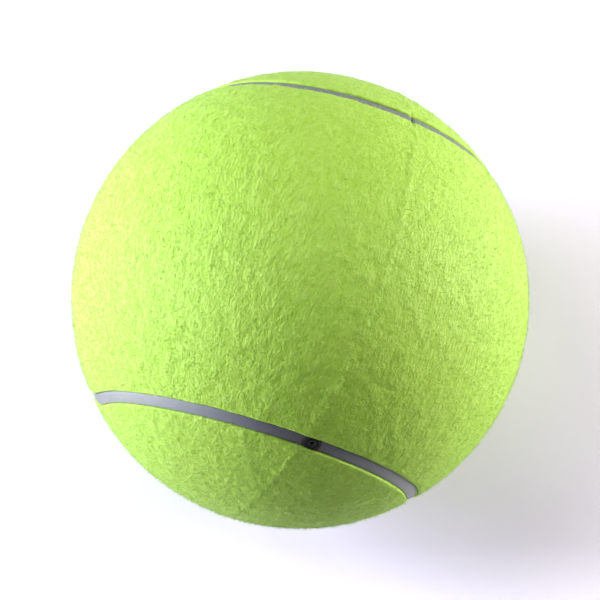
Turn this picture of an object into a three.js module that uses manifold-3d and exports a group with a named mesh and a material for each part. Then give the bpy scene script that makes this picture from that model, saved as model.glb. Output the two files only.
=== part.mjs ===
// A large inflatable ball for dogs: an air bladder with a valve, under a felt cover.
// Millimetres, +Z up, with the origin at the centre of the ball.
//
// The cover's one long seam is four half circles. In the ball's own frame the two half circles
// of the upper half go round the Y axis, and the two of the lower half go round the X axis.
// So the bottom felt passes under the ball and its lobes come up at -Y and +Y, and the top felt
// passes over the ball and its lobes hang down at -X and +X. Each felt is cut in a left and a
// right half, which meet on the parting plane, an upright plane that lies a little askew to the
// plane X = 0. The valve sits in the seam, just right of where that plane crosses it at -Y.
// The whole ball then lies turned about Y, as it came to rest.

import * as THREE from 'three';
import { mergeVertices } from 'three/addons/utils/BufferGeometryUtils.js';
import Module from 'manifold-3d';

const wasm = await Module();
wasm.setup();

// Cover
const ballDiameter = 240;
const feltThickness = 2.6;
const feltButtGap = 0.4;
const stripWidth = 6.4;
const stripThickness = 1.5;
const stripEndGap = 1.4;
const bottomLobeAngle = 45;
const partingTwist = -2.6;

// Bladder
const bladderWall = 1.7;

// Valve
const valveFromParting = 4.8;
const bootDiameter = 8.8;
const bootLength = 20;
const bootLip = 1.5;
const bootOutlet = 2.4;
const headRise = 0.4;
const headChamfer = 0.4;
const flangeDiameter = 28;
const flangeThickness = 1.4;
const patchDiameter = 48;
const patchThickness = 1.2;
const plugDiameter = 5;
const plugChamfer = 0.3;
const needleHole = 1.2;
const needleEntry = 2;
const needleEntryDepth = 0.6;
const needleDepth = 7;

// Lie of the ball, and the space that glued faces keep between them
const restingTurn = 20.4;
const seatGap = 0.3;

// Fineness of the facets, and the distance within which corners count as one
const sphereDetail = 7;
const coneSides = 64;
const roundSides = 32;
const weldDistance = 1e-5;

const feltOuter = ballDiameter / 2;
const feltInner = feltOuter - feltThickness;
const bladderOuter = feltInner - seatGap;
const bladderInner = bladderOuter - bladderWall;
const stripOuter = feltInner + stripThickness;
const patchOuter = bladderInner - seatGap;
const flangeOuter = patchOuter - patchThickness - seatGap;
const headTop = stripOuter + headRise;
const bootBottom = headTop - bootLength;
const plugBottom = bootBottom + bootLip + seatGap;
const reach = ballDiameter;

const lobeCone = THREE.MathUtils.degToRad(bottomLobeAngle);
const twist = THREE.MathUtils.degToRad(partingTwist);
const quarterTurn = Math.PI / 2;
const stripHalfAngle = stripWidth / 2 / feltInner;
const channelHalfAngle = stripHalfAngle + seatGap / feltInner;

// Both are angles about Y along the half circle at -Y: where the parting plane crosses the seam,
// and where the valve stands
const partingCrossing = Math.asin(Math.tan(twist) / Math.tan(lobeCone));
const valveTurn = partingCrossing + valveFromParting / (stripOuter * Math.sin(lobeCone));

// A closed geometry as a solid that can be joined and cut
function solid(geometry) {
  const bare = geometry.clone();
  bare.deleteAttribute('normal');
  bare.deleteAttribute('uv');
  const merged = mergeVertices(bare, weldDistance);
  const corners = merged.index.array;
  const triVerts = [];
  for (let i = 0; i < corners.length; i += 3) {
    const [a, b, c] = [corners[i], corners[i + 1], corners[i + 2]];
    if (a !== b && b !== c && c !== a) triVerts.push(a, b, c);
  }
  const vertProperties = new Float32Array(merged.attributes.position.array);
  const mesh = new wasm.Mesh({ numProp: 3, vertProperties, triVerts: new Uint32Array(triVerts) });
  return new wasm.Manifold(mesh);
}

function geometryOf(body) {
  const { vertProperties, triVerts } = body.getMesh();
  const indexed = new THREE.BufferGeometry();
  indexed.setAttribute('position', new THREE.BufferAttribute(vertProperties, 3));
  indexed.setIndex(new THREE.BufferAttribute(triVerts, 1));
  const flat = indexed.toNonIndexed();
  flat.computeVertexNormals();
  return flat;
}

// A spherical wall: every wall uses the same facets, so that nested walls lie parallel
function ballWall(outerRadius, thickness) {
  const outer = solid(new THREE.IcosahedronGeometry(outerRadius, sphereDetail));
  return outer.subtract(solid(new THREE.IcosahedronGeometry(outerRadius - thickness, sphereDetail)));
}

// Everything on one side of a plane through the ball, given by its normal and its offset
function sideOf(normal, offset = 0) {
  const block = new THREE.BoxGeometry(2 * reach, 2 * reach, reach);
  block.translate(0, 0, reach / 2 + offset);
  const turn = new THREE.Quaternion().setFromUnitVectors(new THREE.Vector3(0, 0, 1), normal);
  return solid(block.applyQuaternion(turn));
}

// Two cones that open from the centre along an axis and against it
function conesAlong(axis, halfAngle) {
  const cone = new THREE.ConeGeometry(reach * Math.tan(halfAngle), reach, coneSides);
  cone.rotateX(Math.PI).translate(0, reach / 2, 0);
  const turn = new THREE.Quaternion().setFromUnitVectors(new THREE.Vector3(0, 1, 0), axis);
  cone.applyQuaternion(turn);
  return solid(cone).add(solid(cone.clone().rotateZ(Math.PI)));
}

const alongX = new THREE.Vector3(1, 0, 0);
const alongY = new THREE.Vector3(0, 1, 0);
const alongZ = new THREE.Vector3(0, 0, 1);

// All that lies inside a felt's outline, kept an angle away from the middle of the seam
function bottomOutline(inset) {
  const lobes = conesAlong(alongY, lobeCone - inset);
  const belowTheBall = sideOf(alongZ.clone().negate());
  return lobes.add(belowTheBall).subtract(conesAlong(alongX, quarterTurn - lobeCone + inset));
}

function topOutline(inset) {
  const lobes = conesAlong(alongX, quarterTurn - lobeCone - inset);
  return lobes.add(sideOf(alongZ)).subtract(conesAlong(alongY, lobeCone + inset));
}

// Turns a shape made along Z to the valve's place, which is in the middle of the seam at -Y.
// The shape's X then runs along the seam.
function atValve(geometry) {
  return geometry.rotateX(quarterTurn - lobeCone).rotateY(valveTurn);
}

function rod(diameter, from, to) {
  const cylinder = new THREE.CylinderGeometry(diameter / 2, diameter / 2, to - from, roundSides);
  return solid(atValve(cylinder.rotateX(quarterTurn).translate(0, 0, (from + to) / 2)));
}

// A turned shape: the profile's points are [radius, height] and go round once
function turned(profile) {
  const points = profile.map(([radius, height]) => new THREE.Vector2(radius, height));
  const lathe = new THREE.LatheGeometry(points, roundSides);
  return solid(atValve(lathe.rotateX(quarterTurn)));
}

const clearHole = bootDiameter + 2 * seatGap;
const throughWalls = rod(clearHole, bootBottom, feltOuter);

function bladder() {
  return ballWall(bladderOuter, bladderWall).subtract(throughWalls);
}

function valvePatch() {
  const disc = ballWall(patchOuter, patchThickness).intersect(rod(patchDiameter, 0, feltOuter));
  return disc.subtract(throughWalls);
}

// The boot is a round tube with a lip that stops the plug. Its head is trimmed to the strip's width.
function valveHousing() {
  const outer = bootDiameter / 2;
  const bore = plugDiameter / 2 + seatGap;
  const lipTop = bootBottom + bootLip;
  const tube = turned([
    [bootOutlet / 2, bootBottom],
    [outer, bootBottom],
    [outer, headTop - headChamfer],
    [outer - headChamfer, headTop],
    [bore, headTop],
    [bore, lipTop],
    [bootOutlet / 2, lipTop],
    [bootOutlet / 2, bootBottom],
  ]);
  const flange = ballWall(flangeOuter, flangeThickness)
    .intersect(rod(flangeDiameter, 0, feltOuter))
    .subtract(rod(bore + outer, bootBottom, feltOuter));
  const trim = new THREE.BoxGeometry(reach, bootDiameter, reach);
  const inTheChannel = bladderInner + bladderWall / 2 + reach / 2;
  const besideTheHead = stripWidth / 2 + bootDiameter / 2;
  const front = solid(atValve(trim.clone().translate(0, -besideTheHead, inTheChannel)));
  const back = solid(atValve(trim.clone().translate(0, besideTheHead, inTheChannel)));
  return tube.add(flange).subtract(front).subtract(back);
}

function valvePlug() {
  const outer = plugDiameter / 2;
  return turned([
    [0, plugBottom],
    [outer - plugChamfer, plugBottom],
    [outer, plugBottom + plugChamfer],
    [outer, headTop - plugChamfer],
    [outer - plugChamfer, headTop],
    [needleEntry / 2, headTop],
    [needleHole / 2, headTop - needleEntryDepth],
    [needleHole / 2, headTop - needleDepth],
    [0, headTop - needleDepth],
  ]);
}

// side is -1 for the left half of the cover and +1 for its right half
function halfOfCover(side, gap) {
  const normal = alongX.clone().applyAxisAngle(alongZ, twist).multiplyScalar(side);
  return sideOf(normal, gap / 2);
}

function feltHalf(outline, side) {
  const felt = ballWall(feltOuter, feltThickness);
  return felt.intersect(outline(channelHalfAngle)).intersect(halfOfCover(side, feltButtGap));
}

// A half of the strip runs from the valve, where the through hole ends it, to the parting plane
// at +Y
function seamStrip(side) {
  const pastTheValve = new THREE.Vector3(side, 0, 0).applyAxisAngle(alongY, valveTurn);
  const front = sideOf(alongY.clone().negate()).intersect(sideOf(pastTheValve));
  const back = sideOf(alongY).intersect(halfOfCover(side, stripEndGap));
  return ballWall(stripOuter, stripThickness)
    .subtract(bottomOutline(stripHalfAngle))
    .subtract(topOutline(stripHalfAngle))
    .intersect(front.add(back))
    .subtract(throughWalls);
}

const felt = () => new THREE.MeshStandardMaterial({ color: 0xa6d64f, roughness: 0.95, metalness: 0 });
const greyRubber = () => new THREE.MeshStandardMaterial({ color: 0x85889a, roughness: 0.5, metalness: 0 });
const blackRubber = () => new THREE.MeshStandardMaterial({ color: 0x16181a, roughness: 0.4, metalness: 0 });

const ball = new THREE.Group();
ball.rotation.y = THREE.MathUtils.degToRad(restingTurn);

function addPiece(name, body, material) {
  const mesh = new THREE.Mesh(geometryOf(body), material);
  mesh.name = name;
  ball.add(mesh);
}

addPiece('bladder', bladder(), blackRubber());
addPiece('valve_patch', valvePatch(), blackRubber());
addPiece('valve_housing', valveHousing(), blackRubber());
addPiece('valve_plug', valvePlug(), blackRubber());
for (const [sideName, side] of [['left', -1], ['right', 1]]) {
  addPiece(`top_felt_${sideName}`, feltHalf(topOutline, side), felt());
  addPiece(`bottom_felt_${sideName}`, feltHalf(bottomOutline, side), felt());
  addPiece(`seam_strip_${sideName}`, seamStrip(side), greyRubber());
}

const restingBall = new THREE.Group();
restingBall.add(ball);

export default restingBall;
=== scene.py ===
# A large felt ball for dogs, with a grey rubber seam strip and a black valve, on a pale floor.
import math

import bmesh
import bpy
from mathutils import Matrix, Vector, noise


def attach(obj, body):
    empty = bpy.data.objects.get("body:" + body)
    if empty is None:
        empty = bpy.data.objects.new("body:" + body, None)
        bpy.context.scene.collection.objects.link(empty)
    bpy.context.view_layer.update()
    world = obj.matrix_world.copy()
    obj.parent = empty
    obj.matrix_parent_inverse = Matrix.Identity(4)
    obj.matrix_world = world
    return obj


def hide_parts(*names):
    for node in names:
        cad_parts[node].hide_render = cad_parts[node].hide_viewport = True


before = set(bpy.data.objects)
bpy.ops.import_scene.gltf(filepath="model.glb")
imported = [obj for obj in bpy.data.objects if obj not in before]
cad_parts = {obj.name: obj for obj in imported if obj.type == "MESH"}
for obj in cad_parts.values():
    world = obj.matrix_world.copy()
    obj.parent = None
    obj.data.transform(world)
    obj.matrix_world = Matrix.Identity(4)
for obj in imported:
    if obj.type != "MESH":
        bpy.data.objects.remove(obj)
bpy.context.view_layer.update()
mm = 0.001
weldDistance = 0.001

# Sizes in millimetres and degrees, as the ball is built: the cover's seam is four half circles,
# and the parting plane between its left and right halves stands a little askew
ball = dict(
    radius=120.0,
    feltThickness=2.6,
    channelWidth=6.7,
    lobeAngle=45.0,
    partingTwist=-2.6,
    restingTurn=20.4,
)
innerRadius = ball["radius"] - ball["feltThickness"]
restingTurn = Matrix.Rotation(math.radians(ball["restingTurn"]), 4, "Y")
partingNormal = Matrix.Rotation(math.radians(ball["partingTwist"]), 3, "Z") @ Vector((1, 0, 0))


class Wire:
    # a socket that shader and geometry maths can be written with
    def __init__(self, tree, socket):
        self.tree = tree
        self.socket = socket

    def maths(self, operation, first, second):
        node = self.tree.nodes.new("ShaderNodeMath")
        node.operation = operation
        plug(self.tree, node.inputs[0], first)
        plug(self.tree, node.inputs[1], second)
        return Wire(self.tree, node.outputs[0])

    def __add__(self, other):
        return self.maths("ADD", self, other)

    def __sub__(self, other):
        return self.maths("SUBTRACT", self, other)

    def __rsub__(self, other):
        return self.maths("SUBTRACT", other, self)

    def __mul__(self, other):
        return self.maths("MULTIPLY", self, other)

    def __truediv__(self, other):
        return self.maths("DIVIDE", self, other)

    def __pow__(self, other):
        return self.maths("POWER", self, other)

    __radd__ = __add__
    __rmul__ = __mul__


def plug(tree, socket, value):
    if isinstance(value, Wire):
        tree.links.new(value.socket, socket)
    elif socket.type == "RGBA" and len(value) == 3:
        socket.default_value = (*value, 1)
    else:
        socket.default_value = value


class Wiring:
    # one node tree; node() makes any node, with its settings first and its sockets after
    def __init__(self, tree):
        self.tree = tree

    def node(self, kind, settings=None, sockets=None, output=0):
        made = self.tree.nodes.new(kind)
        for name, value in (settings or {}).items():
            if name == "stops":
                setStops(made.color_ramp, value)
            else:
                setattr(made, name, value)
        for name, value in (sockets or {}).items():
            plug(self.tree, made.inputs[name], value)
        return Wire(self.tree, made.outputs[output])

    def mixColour(self, factor, first, second):
        made = self.node("ShaderNodeMix", dict(data_type="RGBA"), {0: factor}, output=2)
        mix = made.socket.node
        plug(self.tree, mix.inputs[6], first)
        plug(self.tree, mix.inputs[7], second)
        return made

    def ramp(self, factor, stops):
        return self.node("ShaderNodeValToRGB", dict(stops=stops), dict(Fac=factor))

    def noise(self, place, scale, detail, **others):
        sockets = dict(Vector=place, Scale=scale, Detail=detail, **others)
        return self.node("ShaderNodeTexNoise", None, sockets)

    # how far a value has come from low to high
    def share(self, value, low, high):
        sockets = {"Value": value, "From Min": low, "From Max": high}
        return self.node("ShaderNodeMapRange", None, sockets)

    # another output of the node that a wire comes from
    def beside(self, wire, output):
        return Wire(self.tree, wire.socket.node.outputs[output])


def setStops(ramp, stops):
    while len(ramp.elements) < len(stops):
        ramp.elements.new(0.5)
    for element, (place, colour) in zip(ramp.elements, stops):
        element.position = place
        element.color = (*colour, 1)


def newMaterial(name, roughness, **constants):
    material = bpy.data.materials.new(name)
    material.use_nodes = True
    shader = material.node_tree.nodes["Principled BSDF"]
    shader.inputs["Roughness"].default_value = roughness
    for socket, value in constants.items():
        plug(material.node_tree, shader.inputs[socket.replace("_", " ")], value)
    return material, Wiring(material.node_tree), shader


def addPiece(name, mesh, material, slot, *replaced):
    piece = bpy.data.objects.new(name, mesh)
    bpy.context.scene.collection.objects.link(piece)
    mesh.materials.clear()
    mesh.materials.append(material)
    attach(piece, "root")
    if replaced:
        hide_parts(*replaced)
    return piece


def asMesh(bm, name):
    for face in bm.faces:
        face.smooth = True
    mesh = bpy.data.meshes.new(name)
    bm.to_mesh(mesh)
    bm.free()
    return mesh


def fillHoles(bm):
    rims = [edge for edge in bm.edges if edge.is_boundary]
    return bmesh.ops.holes_fill(bm, edges=rims, sides=0)["faces"]


def eased(value):
    held = min(max(value, 0.0), 1.0)
    return held * held * (3 - 2 * held)


def bell(distance, width):
    return math.exp(-(distance / width) ** 2)


# How far a place on the ball is from the middle of the seam, in millimetres. The upper half's seam
# goes round the Y axis and the lower half's round the X axis.
def fromSeam(place):
    across = abs(place.y) if place.z > 0 else abs(place.x)
    fromAxis = math.degrees(math.acos(min(across / place.length, 1.0)))
    return abs(fromAxis - ball["lobeAngle"]) * math.radians(1) * place.length


def partingDistance(place):
    return place.dot(partingNormal)


# Where the parting plane crosses the seam at -Y, as an angle about Y and as a place, and where it
# crosses the seam at +Y
lobe = math.radians(ball["lobeAngle"])
partingCrossing = math.asin(math.tan(math.radians(ball["partingTwist"])) / math.tan(lobe))
tuftPlace = Matrix.Rotation(partingCrossing, 3, "Y") @ Vector((0, -math.cos(lobe), math.sin(lobe)))
tuftPlace *= ball["radius"]
creasePlace = Vector((-tuftPlace.x, -tuftPlace.y, tuftPlace.z))


# Felt
felt = dict(
    grid=1.15,            # distance between the surface's rows of vertices
    edgeGrid=0.6,         # and within edgeZone of the felt's edge
    edgeZone=3.0,
    edgeRounding=0.9,
    roundingSteps=4,
    backSteps=10,
    spinStep=0.7,         # degrees
    buttGap=0.01,         # between the two halves
    nearParting=(0.5, 1.1, 1.9, 3.0),
    lumps=((3.0, 0.22), (7.0, 0.32), (28.0, 0.22)),   # width and height of the surface's lumps
    lumpStart=(7.3, 1.9),
    lumpDepth=0.3,        # under the surface, from where lumps have their full height
    ridgeHeight=0.45,
    ridgeWidth=1.9,
    ridgeLevel=0.75,      # the ridge's usual share of its height, and how far it leaves it
    ridgeChange=0.5,
    ridgePatch=7.0,       # length of its higher and lower parts
    creaseDepth=1.3,      # where the parting plane meets the seam at +Y
    creaseWidth=0.9,
    creaseLength=7.0,
    sunken=0.25,          # how far the backing lies under the tips of the nap
)


def arcPoint(radius, angle):
    return Vector((radius * math.sin(angle), radius * math.cos(angle), 0))


# Half of the felt's section, in the plane Z = 0, from the lobe's axis out to the channel and back
def feltSection():
    rounding = felt["edgeRounding"]
    outer = ball["radius"] - felt["sunken"]
    wallAngle = math.radians(ball["lobeAngle"]) - ball["channelWidth"] / 2 / innerRadius
    cornerAngle = wallAngle - rounding / (outer - rounding)
    edgeZone = felt["edgeZone"] / outer
    wide = max(int((cornerAngle - edgeZone) * outer / felt["grid"]), 1)
    fine = int(edgeZone * outer / felt["edgeGrid"])
    angles = [(cornerAngle - edgeZone) * i / wide for i in range(wide)]
    angles += [cornerAngle - edgeZone * (1 - i / fine) for i in range(fine)]
    points = [arcPoint(outer, angle) for angle in angles]
    centre = arcPoint(outer - rounding, cornerAngle)
    outward = centre.normalized()
    sideways = Vector((outward.y, -outward.x, 0))
    for i in range(felt["roundingSteps"] + 1):
        turn = math.pi / 2 * i / felt["roundingSteps"]
        points.append(centre + rounding * (math.cos(turn) * outward + math.sin(turn) * sideways))
    points.append(arcPoint((outer + innerRadius) / 2, wallAngle))
    back = felt["backSteps"]
    points += [arcPoint(innerRadius, wallAngle * (1 - i / back)) for i in range(back + 1)]
    return points


def addChain(bm, points, closed):
    verts = [bm.verts.new(point) for point in points]
    edges = [bm.edges.new(pair) for pair in zip(verts, verts[1:])]
    if closed:
        edges.append(bm.edges.new((verts[-1], verts[0])))
    return verts + edges


# The felt that passes under the ball, whole, in the ball's own frame: a quarter of it is spun,
# the lobe about Y and the waist about X, and mirrored twice
def wholeFelt():
    bm = bmesh.new()
    half = feltSection()
    steps = round(90 / felt["spinStep"])
    for axis in ((1, 0, 0), (0, 1, 0)):
        chain = addChain(bm, half, closed=False)
        bmesh.ops.spin(bm, geom=chain, cent=(0, 0, 0), axis=axis, angle=-math.pi / 2, steps=steps)
    for axis in ("X", "Y"):
        geom = [*bm.verts, *bm.edges, *bm.faces]
        bmesh.ops.mirror(bm, geom=geom, matrix=Matrix.Identity(4), merge_dist=0.0, axis=axis)
    bmesh.ops.remove_doubles(bm, verts=bm.verts, dist=weldDistance)
    bmesh.ops.recalc_face_normals(bm, faces=bm.faces)
    return bm


def sliceFelt(bm, normal, distance, discard=False):
    bmesh.ops.bisect_plane(
        bm, geom=[*bm.verts, *bm.edges, *bm.faces], dist=1e-5,
        plane_co=normal * distance, plane_no=normal, clear_inner=discard)


# Keeps one half of a felt, adds rows of vertices beside its cut and closes the cut with sharp edges
def cutFelt(bm, side):
    normal = partingNormal * side
    sliceFelt(bm, normal, felt["buttGap"] / 2, discard=True)
    for distance in felt["nearParting"]:
        sliceFelt(bm, normal, distance)
    for face in fillHoles(bm):
        for edge in face.edges:
            edge.smooth = False


# Raises lumps all over the felt and a soft ridge along the parting plane, and sinks the crease
def roughenFelt(bm):
    outer = ball["radius"] - felt["sunken"]
    for vert in bm.verts:
        place = vert.co.copy()
        atSurface = eased((place.length - innerRadius) / (outer - innerRadius - felt["lumpDepth"]))
        if atSurface == 0:
            continue
        lift = 0
        for width, height in felt["lumps"]:
            lift += height * noise.noise(place / width + Vector((*felt["lumpStart"], width)))
        aside = partingDistance(place)
        patchy = felt["ridgeLevel"] + felt["ridgeChange"] * noise.noise(place / felt["ridgePatch"])
        atCrease = bell((place - creasePlace).length, felt["creaseLength"])
        lift += felt["ridgeHeight"] * patchy * bell(aside, felt["ridgeWidth"]) * (1 - atCrease)
        lift -= felt["creaseDepth"] * atCrease * bell(aside, felt["creaseWidth"])
        vert.co = place * (1 + atSurface * lift / place.length)


# Nap
nap = dict(
    layers=(
        # name, strands per square millimetre, length, width, lift, seed
        ("under_nap", 0.40, 1.9, 0.18, 0.08, 11),
        ("upper_nap", 0.38, 1.5, 0.16, 0.22, 29),
    ),
    shades=dict(         # from the strands in the felt's hollows to its whitest fluff
        under_nap=((0.295, 0.56, 0.034), (0.46, 0.74, 0.130), (0.88, 0.94, 0.70)),
        upper_nap=((0.325, 0.60, 0.040), (0.485, 0.765, 0.150), (0.92, 0.96, 0.78)),
    ),
    flatness=0.5,        # a strand's height by its width
    lengths=(0.7, 1.3),  # as shares of the layer's length, and widths likewise
    widths=(0.75, 1.25),
    sunkLift=-0.02,      # the least lift
    stray=(1.1, 1.1, 0.06),
    fluffWidth=1.9,      # of the denser and paler nap along the parting line
    fluffLength=110.0,   # where it fades out, away from the valve
    farFluff=0.25,       # how much of it is left there
    fluffLevel=0.85,     # how full it is on average, and how long its patches are
    fluffPatch=5.0,
    fluffDensity=1.6,
    tuftAside=-1.6,
    tuftWidth=3.4,       # and of the tuft where that line meets the valve
    tuftSpread=3.0,      # how soon its strands are long, going in
    tuftFluff=5.0,       # and how soon they are white
    tuftLength=0.9,      # their share of the full length
    edgeOver=0.5,        # how far the nap hangs over the felt's edge
    edgeShort=0.9,       # and where its strands reach their length
    lieChange=40.0,      # over how far the lie of the whole nap changes
    swirls=((4.0, 2.2), (30.0, 1.1)),    # width and strength
    swirlStart=(3.1, 8.2, 5.5),
    leastCover=0.3,      # under which no strand grows
    toneSpread=0.3,      # from strand to strand
    patchScale=240.0,    # and from patch to patch
    patchContrast=3.0,
    patchLevel=-1.25,
    palestPlain=0.62,    # the tone that strands stay under away from the fluff
    fluffTone=0.25,
)
napMarks = dict(lay="FLOAT_VECTOR", cover="FLOAT", fluff="FLOAT")
# Radii of a unit strand, and how far it leans at its bend, at its tip and as a whole
strandShape = dict(foot=0.34, middle=0.54, bend=0.45, tip=-0.1, back=-0.5)
# The UV map by which the nap finds its colours
chart = dict(name="OFBake", margin=0.04, strandWidth=0.03)


# Which way the nap lies: mostly along Y, turned this way and that by noise
def layOfNap(place):
    outward = place.normalized()
    loose = noise.noise_vector(place / nap["lieChange"])
    along = Vector((0, 1, 0)) + 0.5 * loose
    along = (along - outward * along.dot(outward)).normalized()
    turn = 0
    for width, strength in nap["swirls"]:
        turn += strength * noise.noise(place / width + Vector(nap["swirlStart"]))
    return Matrix.Rotation(turn, 3, outward) @ along


# Writes on the backing how the nap lies, how much of its length it has there, and where it is
# fluffed up
def markFelt(mesh):
    for mark, kind in napMarks.items():
        mesh.attributes.new(mark, kind, "POINT")
    lay, cover, fluff = (mesh.attributes[mark].data for mark in napMarks)
    middleOfTuft = tuftPlace + Vector((nap["tuftAside"], 0, 0))
    for i, vert in enumerate(mesh.vertices):
        lay[i].vector = layOfNap(vert.co)
        inside = fromSeam(vert.co) - ball["channelWidth"] / 2 + nap["edgeOver"]
        tuft = bell((vert.co - middleOfTuft).length, nap["tuftWidth"])
        inTuft = min(nap["tuftSpread"] * tuft, nap["tuftLength"])
        cover[i].value = max(eased(inside / nap["edgeShort"]), inTuft)
        patchy = eased(nap["fluffLevel"] + noise.noise(vert.co / nap["fluffPatch"]))
        nearValve = bell((vert.co - tuftPlace).length, nap["fluffLength"])
        patchy *= nap["farFluff"] + (1 - nap["farFluff"]) * nearValve
        alongLine = patchy * bell(partingDistance(vert.co), nap["fluffWidth"])
        fluff[i].value = max(alongLine, nap["tuftFluff"] * tuft)


# One strand of nap: a three-sided spike with a bend half way up, a unit long along Z and about a
# unit wide
def strandMesh():
    bm = bmesh.new()
    bmesh.ops.create_cone(bm, cap_ends=True, segments=3, radius1=strandShape["foot"],
                          radius2=strandShape["middle"], depth=0.5)
    top = max(bm.faces, key=lambda face: face.calc_center_median().z)
    bmesh.ops.translate(bm, verts=list(top.verts), vec=(strandShape["bend"], 0, 0))
    tip = bmesh.ops.poke(bm, faces=[top])["verts"]
    bmesh.ops.translate(bm, verts=tip, vec=(strandShape["tip"], 0, 0.5))
    bmesh.ops.translate(bm, verts=bm.verts, vec=(strandShape["back"], 0, 0.25))
    bmesh.ops.recalc_face_normals(bm, faces=bm.faces)
    return asMesh(bm, "strand")


# The nodes that strew strands over a felt, lay them down and give each its tone
def napTree(strand, material, density, length, width, lift, seed):
    tree = bpy.data.node_groups.new("nap", "GeometryNodeTree")
    tree.interface.new_socket("Geometry", in_out="INPUT", socket_type="NodeSocketGeometry")
    tree.interface.new_socket("Geometry", in_out="OUTPUT", socket_type="NodeSocketGeometry")
    wiring = Wiring(tree)

    def vectorMaths(operation, first, second, output=0):
        settings = dict(operation=operation)
        return wiring.node("ShaderNodeVectorMath", settings, {0: first, 1: second}, output)

    def randomNumber(low, high, offset):
        settings = dict(data_type="FLOAT")
        made = wiring.node("FunctionNodeRandomValue", settings, dict(Seed=seed + offset), 1)
        plug(tree, made.socket.node.inputs[2], low)
        plug(tree, made.socket.node.inputs[3], high)
        return made

    def mark(name):
        settings = dict(data_type=napMarks[name])
        return wiring.node("GeometryNodeInputNamedAttribute", settings, dict(Name=name))

    surface = wiring.node("NodeGroupInput")
    place = wiring.node("GeometryNodeInputPosition")
    faceNormal = wiring.node("GeometryNodeInputNormal")
    outward = vectorMaths("NORMALIZE", place, (0, 0, 0))
    facing = vectorMaths("DOT_PRODUCT", faceNormal, outward, 1)
    cover = mark("cover")
    lay = mark("lay")
    fluff = mark("fluff")
    crowded = (fluff * nap["fluffDensity"] + 1.0) * (density / mm**2)
    growing = wiring.node("FunctionNodeCompare", None, {0: facing * cover, 1: nap["leastCover"]})
    points = wiring.node(
        "GeometryNodeDistributePointsOnFaces", dict(distribute_method="RANDOM"),
        dict(Mesh=surface, Density=crowded, Seed=seed, Selection=growing))
    normal = wiring.beside(points, 1)
    stray = wiring.node(
        "FunctionNodeRandomValue", dict(data_type="FLOAT_VECTOR"),
        {0: tuple(-reach for reach in nap["stray"]), 1: nap["stray"], "Seed": seed + 1})
    upward = vectorMaths("SCALE", normal, (0, 0, 0))
    plug(tree, upward.socket.node.inputs["Scale"], randomNumber(nap["sunkLift"], lift, 2))
    toward = vectorMaths("ADD", vectorMaths("ADD", lay, stray), upward)
    turned = wiring.node("FunctionNodeAxesToRotation", dict(primary_axis="Z", secondary_axis="X"),
                         {0: toward, 1: normal})
    long = randomNumber(*nap["lengths"], 3) * cover * (length * mm)
    wide = randomNumber(*nap["widths"], 4) * (width * mm)
    size = wiring.node("ShaderNodeCombineXYZ", None, dict(X=wide * nap["flatness"], Y=wide, Z=long))
    template = wiring.node("GeometryNodeObjectInfo", None, dict(Object=strand), output=4)
    strands = wiring.node("GeometryNodeInstanceOnPoints", None,
                          dict(Points=points, Instance=template, Rotation=turned, Scale=size))
    patch = wiring.noise(place, nap["patchScale"], 3.0) * nap["patchContrast"] + nap["patchLevel"]
    plain = randomNumber(0.0, nap["toneSpread"], 5) + patch
    tone = plain.maths("MINIMUM", plain, nap["palestPlain"]) + fluff * nap["fluffTone"]
    toned = wiring.node(
        "GeometryNodeStoreNamedAttribute", dict(data_type="FLOAT", domain="INSTANCE"),
        dict(Geometry=strands, Name="tone", Value=tone))
    whole = wiring.node("GeometryNodeRealizeInstances", None, dict(Geometry=toned))
    dressed = wiring.node("GeometryNodeSetMaterial", None, dict(Geometry=whole, Material=material))
    end = tree.nodes.new("NodeGroupOutput")
    plug(tree, end.inputs[0], dressed)
    return tree


def onChart(share):
    return chart["margin"] + (1 - 2 * chart["margin"]) * share


# A strand's place on the nap's colour chart: its tone goes across and its length goes up
def chartStrand(mesh):
    places = mesh.uv_layers.new(name=chart["name"]).data
    for loop in mesh.loops:
        corner = mesh.vertices[loop.vertex_index].co
        places[loop.index].uv = (corner.y * chart["strandWidth"], onChart(corner.z))


def growNap(feltPiece, name, tree):
    carrier = bpy.data.objects.new(name + "_carrier", feltPiece.data)
    bpy.context.scene.collection.objects.link(carrier)
    grower = carrier.modifiers.new("nap", "NODES")
    grower.node_group = tree
    grown = carrier.evaluated_get(bpy.context.evaluated_depsgraph_get())
    mesh = bpy.data.meshes.new_from_object(grown)
    mesh.name = name
    bpy.data.objects.remove(carrier)
    tones = [item.value for item in mesh.attributes["tone"].data]
    places = mesh.uv_layers[chart["name"]].data
    for loop in mesh.loops:
        across, along = places[loop.index].uv
        places[loop.index].uv = (onChart(min(tones[loop.vertex_index], 1)) + across, along)
    dropMarks(mesh, ["tone", *napMarks])
    bpy.data.node_groups.remove(tree)
    return mesh


def dropMarks(mesh, marks):
    for mark in marks:
        if mark in mesh.attributes:
            mesh.attributes.remove(mesh.attributes[mark])


feltLooks = dict(
    backing=((0.35, (0.35, 0.63, 0.050)), (0.5, (0.42, 0.70, 0.082)), (0.65, (0.49, 0.77, 0.12))),
    ridge=(0.55, 0.82, 0.18),         # the nap beside the parting line
    gloss=0.2,
    sheen=0.12,          # of the nap alone
    sheenRoughness=0.5,
    roughness=0.6,
    fine=900.0,          # noise scales
    coarse=330.0,
    stretch=0.5,         # along the nap
    bump=0.7,
    bumpDepth=0.6,
    toneStops=(0.1, 0.65, 0.8, 1.0),
    paleTips=0.05,
)


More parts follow.
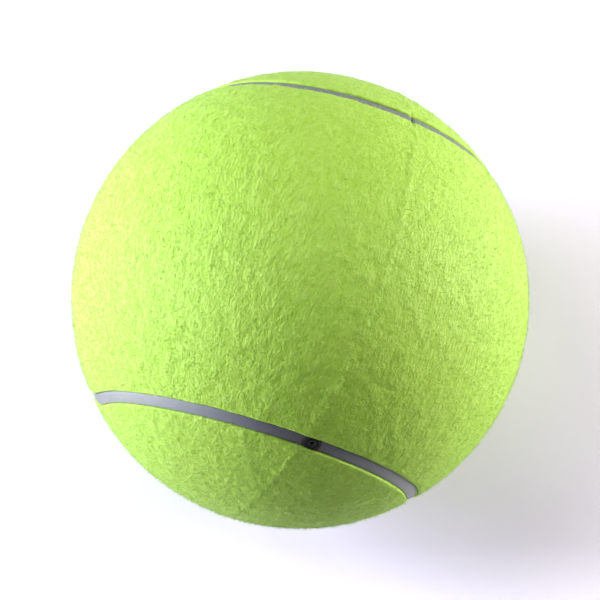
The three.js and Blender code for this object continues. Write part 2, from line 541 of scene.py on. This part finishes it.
def feltMaterial():
    material, wiring, shader = newMaterial(
        "felt_backing", feltLooks["roughness"], Specular_IOR_Level=feltLooks["gloss"])
    place = wiring.beside(wiring.node("ShaderNodeTexCoord"), "Object")
    drawnOut = wiring.node("ShaderNodeVectorMath", dict(operation="MULTIPLY"),
                           {0: place, 1: (1.0, feltLooks["stretch"], 1.0)})
    fine = wiring.noise(drawnOut, feltLooks["fine"], 3.0, Roughness=0.6)
    coarse = wiring.noise(drawnOut, feltLooks["coarse"], 4.0, Roughness=0.6)
    colour = wiring.ramp(fine * 0.5 + coarse * 0.5, feltLooks["backing"])
    plug(material.node_tree, shader.inputs["Base Color"], colour)
    bump = wiring.node("ShaderNodeBump", None, dict(
        Height=fine + coarse * 2.0, Strength=feltLooks["bump"],
        Distance=feltLooks["bumpDepth"] * mm))
    plug(material.node_tree, shader.inputs["Normal"], bump)
    return material


def napMaterial(name, dark, light, pale):
    material, wiring, shader = newMaterial(
        name, feltLooks["roughness"], Specular_IOR_Level=feltLooks["gloss"],
        Sheen_Weight=feltLooks["sheen"], Sheen_Roughness=feltLooks["sheenRoughness"])
    places = wiring.node("ShaderNodeUVMap", dict(uv_map=chart["name"]))
    tone = wiring.node("ShaderNodeSeparateXYZ", None, dict(Vector=places))
    along = wiring.beside(tone, "Y")
    shades = (dark, light, feltLooks["ridge"], pale)
    body = wiring.ramp(tone, tuple(zip(feltLooks["toneStops"], shades)))
    colour = wiring.mixColour(along ** 2.0 * feltLooks["paleTips"], body, pale)
    plug(material.node_tree, shader.inputs["Base Color"], colour)
    return material


# Lays a marked felt as the ball came to rest, and gives it its layers of nap
def dressFelt(name, mesh, side, backing, strand, napMade):
    mesh.transform(restingTurn @ Matrix.Scale(mm, 4))
    turn = restingTurn.to_3x3()
    for item in mesh.attributes["lay"].data:
        item.vector = turn @ item.vector
    piece = addPiece(name + "_cover", mesh, backing, "felt", name)
    for layer, density, length, width, lift, seed in nap["layers"]:
        made = napMade[layer]
        tree = napTree(strand, made, density, length, width, lift, seed + 3 * side)
        grown = growNap(piece, f"{name}_{layer}", tree)
        addPiece(f"{name}_{layer}", grown, made, "felt")
        print("nap", name, layer, len(grown.polygons), "faces")
    dropMarks(mesh, napMarks)
    print("felt", name, len(mesh.polygons), "faces")


# The top felt is the bottom felt turned over, with its lobes on X
def makeFelts():
    backing = feltMaterial()
    strand = bpy.data.objects.new("strand", strandMesh())
    chartStrand(strand.data)
    napMade = {name: napMaterial(name, *shades) for name, shades in nap["shades"].items()}
    turnedOver = Matrix.Rotation(math.pi, 4, Vector((1, 1, 0)))
    whole = wholeFelt()
    for feltName, turn in (("bottom_felt", Matrix.Identity(4)), ("top_felt", turnedOver)):
        for sideName, side in (("left", -1), ("right", 1)):
            bm = whole.copy()
            bmesh.ops.transform(bm, matrix=turn, verts=bm.verts)
            cutFelt(bm, side)
            roughenFelt(bm)
            name = f"{feltName}_{sideName}"
            mesh = asMesh(bm, name)
            markFelt(mesh)
            dressFelt(name, mesh, side, backing, strand, napMade)
    whole.free()
    bpy.data.objects.remove(strand)


# Seam strip
strip = dict(
    width=6.4,
    thickness=1.5,
    crown=0.2,
    crownSteps=4,        # on each side of the middle
    rounding=0.35,
    bevel=0.1,
    bevelFall=0.3,       # as a share of the rounding
    spinStep=1.0,        # degrees
    waveHeight=0.12,     # of its slow ups and downs
    waveWidth=14.0,
    valveFromParting=4.8,
    valveHole=4.7,       # radius
    hollowLength=4.0,    # how far from the valve its rows lie bent
    endGap=1.4,
    seat=0.05,           # between the strip and what it is glued to
    roughness=0.5,
    gloss=0.4,
    grain=0.3,           # strength of the bumps
    # painted shade makes it darker by the valve, and a painted highlight makes it paler along the
    # sides, where the left lamps'
    # # light would shine off it; far from the valve it keeps its own dark grey. A place is the
    # distance from the valve,
    # # as a share of the ball's diameter
    shades=((0.0, (0.045, 0.046, 0.058)), (0.05, (0.075, 0.08, 0.095)), (0.1, (0.125, 0.14, 0.155)),
            (0.25, (0.25, 0.28, 0.255)), (0.38, (0.29, 0.325, 0.26)), (0.6, (0.14, 0.165, 0.145)),
            (1.0, (0.11, 0.13, 0.115))),
)
stripRadius = innerRadius + strip["thickness"]
valveTurn = partingCrossing + strip["valveFromParting"] / (stripRadius * math.sin(lobe))


# The strip's section across the seam, in the plane Z = 0 at +X and -Y
def stripSection():
    half = strip["width"] / 2
    rounding = strip["rounding"]
    points = []
    edge = stripRadius - strip["crown"] / 2
    seat = innerRadius + strip["seat"]
    for i in range(2 * strip["crownSteps"] + 1):
        aside = (half - rounding) * (1 - i / strip["crownSteps"])
        points.append((aside, edge + strip["crown"] * (1 - (aside / half) ** 2)))
    inward, fallen = half - strip["bevel"], edge - rounding * strip["bevelFall"]
    points += [(-inward, fallen), (-half, stripRadius - rounding), (-half, seat)]
    points += [(half, seat), (half, stripRadius - rounding), (inward, fallen)]
    middle = math.pi / 2 + lobe
    return [arcPoint(radius, middle + aside / stripRadius) for aside, radius in points]


# Half of the strip: from the valve along the half circle at -Y, down round +X, and back along +Y.
# The left half is made on the right too, and mirrored.
def halfStrip(side):
    bm = bmesh.new()
    section = stripSection()
    reach = stripRadius * math.sin(lobe)
    toValve = math.pi / 2 - side * valveTurn - strip["valveHole"] / reach
    toGap = math.pi / 2 + side * partingCrossing - strip["endGap"] / 2 / reach

    def spun(points, axis, angle):
        steps = round(abs(math.degrees(angle)) / strip["spinStep"])
        geom = addChain(bm, points, closed=True)
        bmesh.ops.spin(bm, geom=geom, cent=(0, 0, 0), axis=axis, angle=angle, steps=steps)

    spun(section, (0, 1, 0), -toValve)
    spun(section, (1, 0, 0), math.pi)
    spun([Vector((point.x, -point.y, 0)) for point in section], (0, 1, 0), -toGap)
    bmesh.ops.remove_doubles(bm, verts=bm.verts, dist=weldDistance)
    fillHoles(bm)
    for vert in bm.verts:
        hollowEnd(vert, toValve, reach)
        place = vert.co
        if place.length > innerRadius + strip["thickness"] / 3:
            wave = strip["waveHeight"] * noise.noise(place / strip["waveWidth"])
            vert.co = place * (1 + wave / place.length)
    if side < 0:
        bmesh.ops.scale(bm, verts=bm.verts, vec=(-1, 1, 1))
    bmesh.ops.recalc_face_normals(bm, faces=bm.faces)
    bmesh.ops.transform(bm, matrix=restingTurn @ Matrix.Scale(mm, 4), verts=bm.verts)
    return bm


# The end at the valve is hollow, to go round the valve's head
def hollowEnd(vert, toValve, reach):
    if vert.co.y > 0 or vert.co.z < 0:
        return
    turned = math.atan2(vert.co.z, vert.co.x)
    toEnd = (toValve - turned) * reach
    aside = (math.acos(-vert.co.y / vert.co.length) - lobe) * stripRadius
    hole = strip["valveHole"]
    reachIn = hole - math.sqrt(max(hole**2 - aside**2, 0))
    move = reachIn * (1 - eased(toEnd / strip["hollowLength"])) / reach
    vert.co = Matrix.Rotation(-move, 3, "Y") @ vert.co


rubber = dict(
    fine=1800.0,         # noise scales
    broad=90.0,
    broadShade=0.06,
    fineShade=0.03,
    roughnessChange=0.2,
    bumpDepth=0.3,
)


# Rubber whose colour follows the distance from the valve, with a little mottling; on the strip that
# distance paints shade by the valve and a highlight along the sides
def rubberMaterial(name, looks):
    material, wiring, shader = newMaterial(
        name, looks["roughness"], Specular_IOR_Level=looks["gloss"])
    place = wiring.beside(wiring.node("ShaderNodeTexCoord"), "Object")
    fine = wiring.noise(place, rubber["fine"], 2.0)
    broad = wiring.noise(place, rubber["broad"], 4.0)
    fromValve = wiring.node("ShaderNodeVectorMath", dict(operation="DISTANCE"),
                            {0: place, 1: tuple(restingTurn @ tuftPlace * mm)}, 1)
    mottling = broad * rubber["broadShade"] + fine * rubber["fineShade"]
    average = (rubber["broadShade"] + rubber["fineShade"]) / 2
    # the distance from the valve picks the strip's painted shade and painted highlight from its
    # ramp
    paintedLightAndMottling = fromValve / (2 * ball["radius"] * mm) + mottling - average
    plug(material.node_tree, shader.inputs["Base Color"], wiring.ramp(paintedLightAndMottling, looks["shades"]))
    patchy = (broad - 0.5) * rubber["roughnessChange"] + looks["roughness"]
    plug(material.node_tree, shader.inputs["Roughness"], patchy)
    bump = wiring.node("ShaderNodeBump", None, dict(
        Height=fine + broad * 2.0, Strength=looks["grain"], Distance=rubber["bumpDepth"] * mm))
    plug(material.node_tree, shader.inputs["Normal"], bump)
    return material


def makeStrips():
    made = rubberMaterial("grey_rubber", strip)
    for sideName, side in (("left", -1), ("right", 1)):
        name = "seam_strip_" + sideName
        addPiece(name + "_band", asMesh(halfStrip(side), name), made, "strip_rubber", name)
        print("strip", name)


# Valve
valve = dict(
    bootRadius=4.4,
    bootLength=20.0,
    headRise=0.4,
    lip=1.5,
    outlet=1.2,
    bore=2.8,
    plugRadius=2.5,
    plugSeat=0.3,        # between the plug and the lip that stops it
    needleHole=0.6,
    needleEntry=1.0,
    needleDepth=7.0,
    flangeRadius=14.0,
    flangeTop=113.6,
    flangeThickness=1.4,
    chamfer=0.3,
    trimmedAbove=2.5,    # under the felt's inner face, from where the boot is as wide as the strip
    roundSides=64,
    roughness=0.35,
    gloss=0.15,
    grain=0.8,
    shades=((0.0, (0.002, 0.0035, 0.0025)), (0.1, (0.007, 0.012, 0.008))),
)


def turnedPiece(profile):
    bm = bmesh.new()
    points = [Vector((radius, 0, height)) for radius, height in profile]
    geom = addChain(bm, points, closed=False)
    bmesh.ops.spin(bm, geom=geom, cent=(0, 0, 0), axis=(0, 0, 1), angle=2 * math.pi,
                   steps=valve["roundSides"], use_merge=True)
    bmesh.ops.remove_doubles(bm, verts=bm.verts, dist=weldDistance)
    return bm


# Turns a shape made along Z, in millimetres, to the valve's place in the seam
def placeAtValve(bm):
    bmesh.ops.recalc_face_normals(bm, faces=bm.faces)
    toSeam = Matrix.Rotation(valveTurn, 4, "Y") @ Matrix.Rotation(math.pi / 2 - lobe, 4, "X")
    bmesh.ops.transform(bm, matrix=restingTurn @ Matrix.Scale(mm, 4) @ toSeam, verts=bm.verts)


# The boot from the inner end of its tube, out over the flange, up to the head and back down the
# bore. The small steps at the top are the head's rim and the groove inside it.
def valveBody():
    top = stripRadius + valve["headRise"]
    bottom = top - valve["bootLength"]
    outer, bore, outlet = valve["bootRadius"], valve["bore"], valve["outlet"]
    chamfer, flangeTop = valve["chamfer"], valve["flangeTop"]
    flangeLow = flangeTop - valve["flangeThickness"]
    profile = [
        (outlet, bottom), (outer - chamfer, bottom), (outer, bottom + chamfer), (outer, flangeLow),
        (valve["flangeRadius"], flangeLow - 0.7), (valve["flangeRadius"], flangeTop - 0.8),
        (outer + chamfer, flangeTop), (outer, flangeTop + chamfer),
        (outer, top - 0.5), (outer - 0.12, top - 0.2), (outer - 0.4, top),
        (outer - 0.8, top - 0.02), (outer - 0.95, top - 0.25), (bore + 0.25, top - 0.25),
        (bore + 0.12, top - 0.05), (bore, top - 0.2), (bore, bottom + valve["lip"]),
        (outlet, bottom + valve["lip"]),
    ]
    bm = turnedPiece(profile + profile[:1])
    for vert in bm.verts:
        if vert.co.z > innerRadius - valve["trimmedAbove"]:
            vert.co.y = min(max(vert.co.y, -strip["width"] / 2), strip["width"] / 2)
    placeAtValve(bm)
    return bm


def valvePlug():
    top = stripRadius + valve["headRise"]
    bottom = top - valve["bootLength"] + valve["lip"] + valve["plugSeat"]
    outer, hole, entry = valve["plugRadius"], valve["needleHole"], valve["needleEntry"]
    chamfer = valve["chamfer"]
    bm = turnedPiece([
        (0, bottom), (outer - chamfer, bottom), (outer, bottom + chamfer), (outer, top - 0.45),
        (outer - 0.1, top - 0.2), (outer - 0.35, top - 0.08), (outer - 0.9, top - 0.12),
        (entry + 0.25, top - 0.3), (entry, top - 0.42), (hole + 0.1, top - 0.75),
        (hole, top - 1.1), (hole, top - valve["needleDepth"]), (0, top - valve["needleDepth"]),
    ])
    placeAtValve(bm)
    return bm


# The bladder and its patch lie inside, so their own solids are kept and only coloured
def makeValve():
    made = rubberMaterial("black_rubber", valve)
    addPiece("valve_boot", asMesh(valveBody(), "valve_boot"), made, "valve_rubber", "valve_housing")
    addPiece("valve_core", asMesh(valvePlug(), "valve_core"), made, "valve_rubber", "valve_plug")
    for node in ("bladder", "valve_patch"):
        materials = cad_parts[node].data.materials
        materials.clear()
        materials.append(made)
    print("valve")


# Studio, in metres
view = dict(azimuth=16.19, elevation=75.43, distance=0.78, lens=88.2, sensor=36)
studio = dict(
    floorSize=8.0,
    floorRoughness=0.9,
    bounce=(0.80, 0.80, 0.78),        # the floor's colour in the light that it throws on the ball
    seen=(0.94, 0.91, 0.95),          # and to the camera
    seenPaintedPaler=(1.19, 1.17, 1.18),     # and to the camera toward the picture's lower edge, brighter: painted light that thins the ball's shadow there
    ahead=(0.113, 0.150),             # how far ahead of the ball's middle the one becomes the other
    horizon=(0.35, 0.75),             # and how far from it the floor fades into white
    ambient=(0.01, 0.01, 0.01),
)
# name, degrees round the picture from its right, degrees toward the camera, size, watts, colour
lamps = (
    ("left_key", 168, 17, 0.55, 14.0, (1.03, 1.0, 1.45)),
    ("left_low", 197, 10, 0.5, 3.6, (1.03, 1.0, 1.45)),
    ("right_key", 13, 9, 0.5, 15.3, (1.10, 1.0, 1.18)),
    ("high_left", 137, 52, 0.5, 4.0, (1.0, 1.0, 0.9)),
    ("top_fill", 98, 22, 0.5, 2.1, (1.0, 1.0, 0.92)),
    ("low_fill", 250, 5, 0.4, 1.8, (1.17, 1.0, 0.55)),
)
lampDistance = 1.1


def cameraAxes():
    azimuth = math.radians(view["azimuth"])
    elevation = math.radians(view["elevation"])
    toward = Vector((math.sin(azimuth) * math.cos(elevation),
                     -math.cos(azimuth) * math.cos(elevation),
                     math.sin(elevation)))
    right = Vector((math.cos(azimuth), math.sin(azimuth), 0))
    return right, toward.cross(right), toward


def makeCamera():
    toward = cameraAxes()[2]
    camera = bpy.data.objects.new("camera", bpy.data.cameras.new("camera"))
    camera.data.lens = view["lens"]
    camera.data.sensor_width = view["sensor"]
    camera.location = toward * view["distance"]
    camera.rotation_euler = (-toward).to_track_quat("-Z", "Y").to_euler()
    bpy.context.scene.collection.objects.link(camera)
    bpy.context.scene.camera = camera
    print("camera")


def makeLamps():
    axes = cameraAxes()
    for name, around, toward, size, watts, colour in lamps:
        around, toward = math.radians(around), math.radians(toward)
        direction = (math.cos(around) * math.cos(toward), math.sin(around) * math.cos(toward),
                     math.sin(toward))
        lamp = bpy.data.lights.new(name, "AREA")
        lamp.shape = "DISK"
        lamp.size = size
        lamp.energy = watts
        lamp.color = colour
        way = sum((axis * share for axis, share in zip(axes, direction)), Vector()).normalized()
        holder = bpy.data.objects.new(name, lamp)
        holder.location = way * lampDistance
        holder.rotation_euler = (-way).to_track_quat("-Z", "Y").to_euler()
        bpy.context.scene.collection.objects.link(holder)
    print("lamps")


# What the camera sees directly, or mirrored in something shiny
def seenDirectly(wiring):
    path = wiring.node("ShaderNodeLightPath")
    seen = path + wiring.beside(path, "Is Glossy Ray") + wiring.beside(path, "Is Transmission Ray")
    return seen.maths("MINIMUM", seen, 1.0)


def makeWorld():
    world = bpy.data.worlds.new("studio")
    world.use_nodes = True
    bpy.context.scene.world = world
    wiring = Wiring(world.node_tree)
    colour = wiring.mixColour(seenDirectly(wiring), studio["ambient"], (1, 1, 1))
    plug(world.node_tree, world.node_tree.nodes["Background"].inputs["Color"], colour)


# A pale floor with painted light that makes it paler ahead of the ball, thinning the ball's shadow
# there, and that fades into white far from it
def floorMaterial():
    material, wiring, shader = newMaterial(
        "floor", studio["floorRoughness"], Specular_IOR_Level=0.0)
    seen = seenDirectly(wiring)
    place = wiring.beside(wiring.node("ShaderNodeTexCoord"), "Object")
    down = -cameraAxes()[1]
    ahead = wiring.node("ShaderNodeVectorMath", dict(operation="DOT_PRODUCT"),
                        {0: place, 1: (down.x, down.y, 0)}, 1)
    # painted light: the floor is seen brighter ahead of the ball, over its shadow
    paintedLightAhead = wiring.mixColour(
        wiring.share(ahead, *studio["ahead"]), studio["seen"], studio["seenPaintedPaler"])
    plug(material.node_tree, shader.inputs["Base Color"],
         wiring.mixColour(seen, studio["bounce"], paintedLightAhead))
    away = wiring.node("ShaderNodeVectorMath", dict(operation="LENGTH"), {0: place}, 1)
    fade = wiring.share(away, *studio["horizon"])
    plug(material.node_tree, shader.inputs["Emission Color"],
         wiring.mixColour(fade * seen, (0, 0, 0), (1, 1, 1)))
    shader.inputs["Emission Strength"].default_value = 1.0
    return material


def makeStudio():
    bpy.context.scene.view_settings.view_transform = "Standard"
    makeWorld()
    bm = bmesh.new()
    bmesh.ops.create_grid(bm, x_segments=1, y_segments=1, size=studio["floorSize"] / 2)
    bmesh.ops.translate(bm, verts=bm.verts, vec=(0, 0, -ball["radius"] * mm))
    floor = bpy.data.objects.new("floor", asMesh(bm, "floor"))
    bpy.context.scene.collection.objects.link(floor)
    floor.data.materials.append(floorMaterial())
    print("studio")


makeCamera()
makeLamps()
makeStudio()
makeFelts()
makeStrips()
makeValve()
